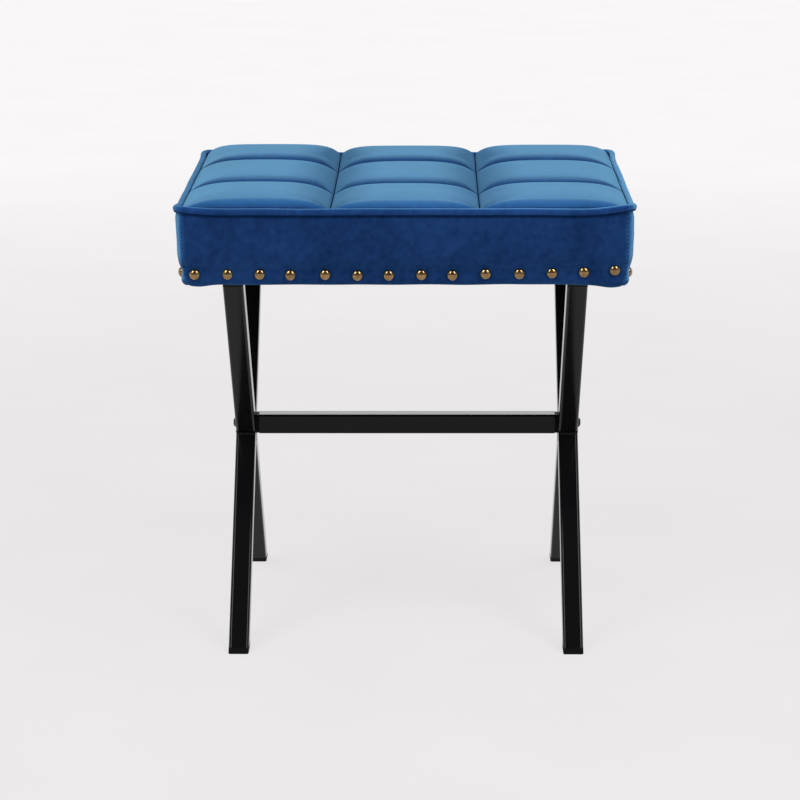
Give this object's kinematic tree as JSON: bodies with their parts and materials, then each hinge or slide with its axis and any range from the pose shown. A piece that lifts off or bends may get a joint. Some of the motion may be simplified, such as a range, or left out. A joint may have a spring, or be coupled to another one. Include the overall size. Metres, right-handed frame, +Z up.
{
  "type": "upholstered bench",
  "caption": "Padded bench seat with a quilted velvet top, piped edge and brass nail trim, on black steel X-frames joined by a stretcher.",
  "frame": {"origin": "on the floor, under the middle of the seat", "axes": "+X to the sitter's right seen from the front, +Y to the back, +Z up"},
  "size_m": [0.485, 0.41, 0.5084],
  "materials": {
    "frame_black": "satin",
    "foot_plastic": "matte",
    "bolt_black": "satin",
    "zinc_steel": "satin",
    "plywood": "matte",
    "seat_foam": "matte",
    "blue_velvet": "matte",
    "dust_cloth": "matte",
    "antique_brass": "polished"
  },
  "bodies": {
    "root": {"left_through_tube": "frame_black", "left_upper_half_tube": "frame_black", "left_lower_half_tube": "frame_black", "left_mounting_bar": "frame_black", "left_front_foot_cap": "foot_plastic", "left_back_foot_cap": "foot_plastic", "left_stretcher_plug": "foot_plastic", "right_through_tube": "frame_black", "right_upper_half_tube": "frame_black", "right_lower_half_tube": "frame_black", "right_mounting_bar": "frame_black", "right_front_foot_cap": "foot_plastic", "right_back_foot_cap": "foot_plastic", "right_stretcher_plug": "foot_plastic", "stretcher_tube": "frame_black", "stretcher_bolts": "bolt_black", "seat_bolts": "zinc_steel", "seat_washers": "zinc_steel", "tee_nuts": "zinc_steel", "base_board": "plywood", "foam_block": "seat_foam", "quilted_top": "blue_velvet", "piping": "blue_velvet", "front_boxing": "blue_velvet", "front_nails": "antique_brass", "back_boxing": "blue_velvet", "back_nails": "antique_brass", "left_boxing": "blue_velvet", "left_nails": "antique_brass", "right_boxing": "blue_velvet", "right_nails": "antique_brass", "dust_cover": "dust_cloth"}
  },
  "joints": []
}
